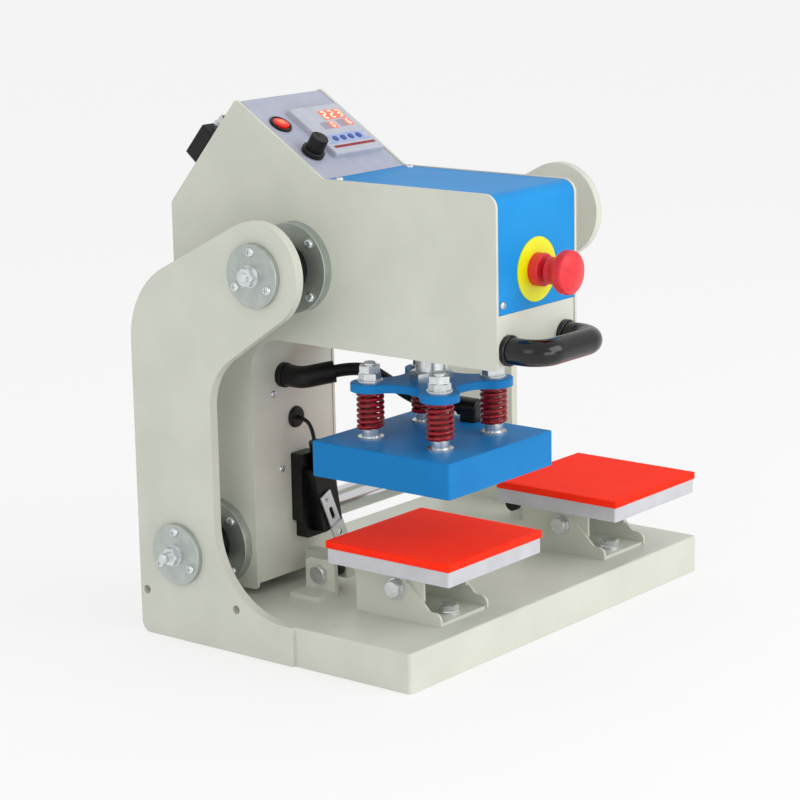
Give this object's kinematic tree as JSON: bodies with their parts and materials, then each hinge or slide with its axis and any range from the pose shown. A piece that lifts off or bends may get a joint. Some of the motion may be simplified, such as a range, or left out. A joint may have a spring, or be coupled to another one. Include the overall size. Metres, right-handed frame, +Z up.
{
  "type": "pneumatic two-station heat press",
  "caption": "Bench heat press: an air-driven heat block on a carriage that slides along shafts between fixed platens with silicone pads.",
  "frame": {"origin": "on the bench, under the middle of the base tray", "axes": "+X along the two shafts, from the station where the carriage rests to the other one; +Y to the back; +Z up"},
  "size_m": [0.552, 0.464, 0.533],
  "materials": {
    "frame_paint": "cream semi-gloss powder coat",
    "cover_blue": "blue semi-gloss paint",
    "heat_blue": "blue semi-gloss paint",
    "panel_film": "lavender grey overlay on sheet steel",
    "shaft_chrome": "polished hard chrome",
    "zinc": "turned and zinc plated",
    "steel": "bright fasteners",
    "platen_aluminium": "light grey",
    "silicone_red": "matt red silicone",
    "black_rubber": "matt black rubber",
    "black_plastic": "matt black moulding",
    "handle_black": "gloss black",
    "yellow_plate": "yellow",
    "stop_red": "satin red",
    "display_face": "grey bezel",
    "key_blue": "blue keys",
    "rocker_red": "translucent red, lit",
    "spring_red": "dark red paint on spring steel",
    "insulation": "ceramic fibre board"
  },
  "bodies": {
    "base": {"base_tray": "frame_paint", "side_plate_left": "frame_paint", "side_plate_right": "frame_paint", "upper_shaft": "shaft_chrome", "lower_shaft": "shaft_chrome", "shaft_end_caps": "zinc", "end_cap_fasteners": "steel", "platen_brackets": "frame_paint", "platen_supports": "frame_paint", "bracket_bolts": "steel", "platens": "platen_aluminium", "silicone_pads": "silicone_red", "stop_brackets": "frame_paint", "stop_bolts": "steel", "stop_tips": "black_rubber"},
    "carriage": {"cheek_left": "frame_paint", "cheek_right": "frame_paint", "column_front": "frame_paint", "rear_cover": "frame_paint", "head_floor": "frame_paint", "top_cover": "cover_blue", "control_panel": "panel_film", "carriage_screws": "steel", "upper_bearings": "zinc", "lower_bearings": "zinc", "shaft_buffers": "black_rubber", "push_handle": "handle_black", "estop_label": "yellow_plate", "estop_body": "stop_red", "controller_case": "display_face", "power_switch_body": "black_plastic", "timer_body": "steel", "air_cylinder": "platen_aluminium", "valve_block": "black_plastic", "air_fitting": "steel", "mains_gland": "black_plastic", "cable_grommets": "black_rubber", "heater_cable": "black_rubber", "switch_body": "black_plastic", "switch_cable": "black_rubber", "stop_block": "frame_paint"},
    "heater": {"heater_cover": "heat_blue", "heating_plate": "platen_aluminium", "heater_insulation": "insulation", "pressure_studs": "steel", "stud_nuts": "steel", "pressure_springs": "spring_red", "heater_elbow": "black_plastic"},
    "ram": {"spider_plate": "heat_blue", "piston_rod": "steel", "rod_nut": "steel"},
    "estop_stem": {"estop_stem": "stop_red"},
    "estop_mushroom": {"estop_mushroom": "stop_red"},
    "power_rocker": {"power_rocker": "rocker_red"},
    "timer_knob": {"timer_knob": "black_plastic"},
    "switch_lever": {"switch_lever": "steel"},
    "key_1": {"key_1": "key_blue"},
    "key_2": {"key_2": "key_blue"},
    "key_3": {"key_3": "key_blue"},
    "key_4": {"key_4": "key_blue"}
  },
  "joints": [
    {"name": "carriage_slide", "type": "slide", "parent": "base", "child": "carriage", "axis": [1, 0, 0], "range_m": [0, 0.278]},
    {"name": "heater_stroke", "type": "slide", "parent": "carriage", "child": "heater", "axis": [0, 0, -1], "range_m": [0, 0.065], "deforming": ["heater_cable"]},
    {"name": "ram_overtravel", "type": "slide", "parent": "heater", "child": "ram", "axis": [0, 0, -1], "range_m": [0, 0.005], "stiffness_N_per_m": 40000, "springref_m": -0.004, "deforming": ["pressure_springs"]},
    {"name": "estop_press", "type": "slide", "parent": "carriage", "child": "estop_stem", "axis": [0, 1, 0], "range_m": [0, 0.0045], "stiffness_N_per_m": 2000, "springref_m": -0.001},
    {"name": "estop_twist", "type": "hinge", "parent": "estop_stem", "child": "estop_mushroom", "pos_m": [-0.129, -0.25, 0.3895], "axis": [0, -1, 0], "range_deg": [0, 30], "stiffness_Nm_per_rad": 0.2},
    {"name": "power_rock", "type": "hinge", "parent": "carriage", "child": "power_rocker", "pos_m": [-0.1695, 0.03912, 0.50962], "axis": [1, 0, 0], "range_deg": [0, 14]},
    {"name": "timer_turn", "type": "hinge", "parent": "carriage", "child": "timer_knob", "pos_m": [-0.169, 0.00056, 0.48454], "axis": [0, -0.5453, 0.8382], "range_deg": [-150, 150]},
    {"name": "lever_swing", "type": "hinge", "parent": "carriage", "child": "switch_lever", "pos_m": [-0.1155, 0.0405, 0.126], "axis": [0, 1, 0], "range_deg": [-20, 20], "stiffness_Nm_per_rad": 0.15},
    {"name": "key_press_1", "type": "slide", "parent": "carriage", "child": "key_1", "axis": [0, 0.5453, -0.8382], "range_m": [0, 0.0005], "stiffness_N_per_m": 500, "springref_m": -0.0002},
    {"name": "key_press_2", "type": "slide", "parent": "carriage", "child": "key_2", "axis": [0, 0.5453, -0.8382], "range_m": [0, 0.0005], "stiffness_N_per_m": 500, "springref_m": -0.0002},
    {"name": "key_press_3", "type": "slide", "parent": "carriage", "child": "key_3", "axis": [0, 0.5453, -0.8382], "range_m": [0, 0.0005], "stiffness_N_per_m": 500, "springref_m": -0.0002},
    {"name": "key_press_4", "type": "slide", "parent": "carriage", "child": "key_4", "axis": [0, 0.5453, -0.8382], "range_m": [0, 0.0005], "stiffness_N_per_m": 500, "springref_m": -0.0002}
  ]
}
